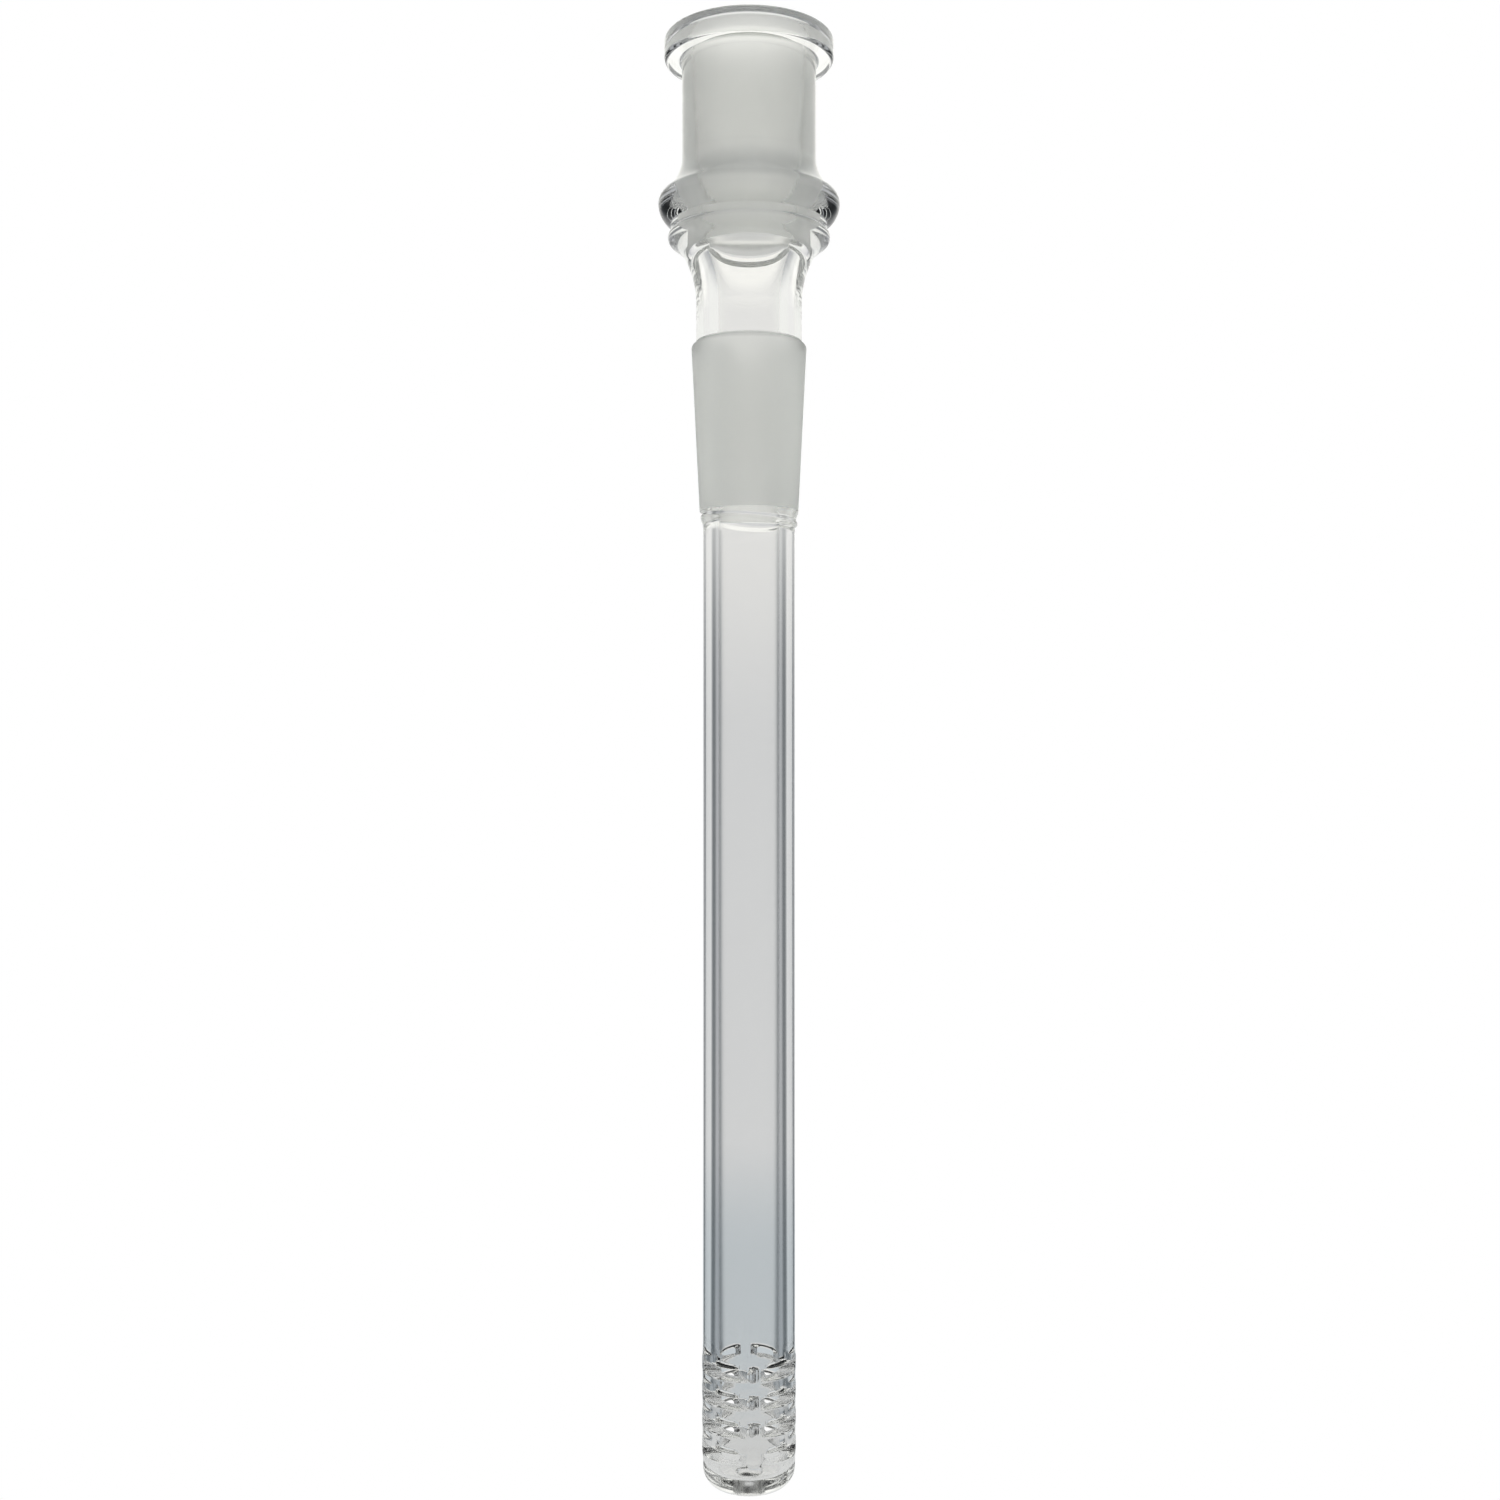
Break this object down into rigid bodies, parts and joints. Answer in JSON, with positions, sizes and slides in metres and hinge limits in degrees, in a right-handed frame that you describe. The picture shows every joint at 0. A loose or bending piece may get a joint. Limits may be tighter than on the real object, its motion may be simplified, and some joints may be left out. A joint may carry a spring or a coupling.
{
  "type": "ground joint down tube adapter",
  "caption": "Borosilicate glass adapter with a female ground socket, a male ground cone and a long heavy-walled stem that ends in a slit diffuser.",
  "frame": {"origin": "on the axis at the large end of the ground cone, where the part seats in a vessel's neck", "axes": "+Z along the axis from the stem's tip up to the socket's mouth; one post between the slits faces 6 degrees from -Y towards +X"},
  "size_m": [0.0237, 0.0236, 0.1888],
  "materials": {
    "clear_glass": "clear, fire-polished borosilicate glass",
    "ground_glass": "frosted, ground to a fine matt taper"
  },
  "bodies": {
    "root": {"mouth_rim": "clear_glass", "socket_barrel": "ground_glass", "maria_ring": "clear_glass", "seal_bead": "clear_glass", "neck_tube": "clear_glass", "ground_cone": "ground_glass", "cone_seal": "clear_glass", "stem_tube": "clear_glass", "slit_diffuser": "clear_glass", "end_tip": "clear_glass"}
  },
  "joints": []
}
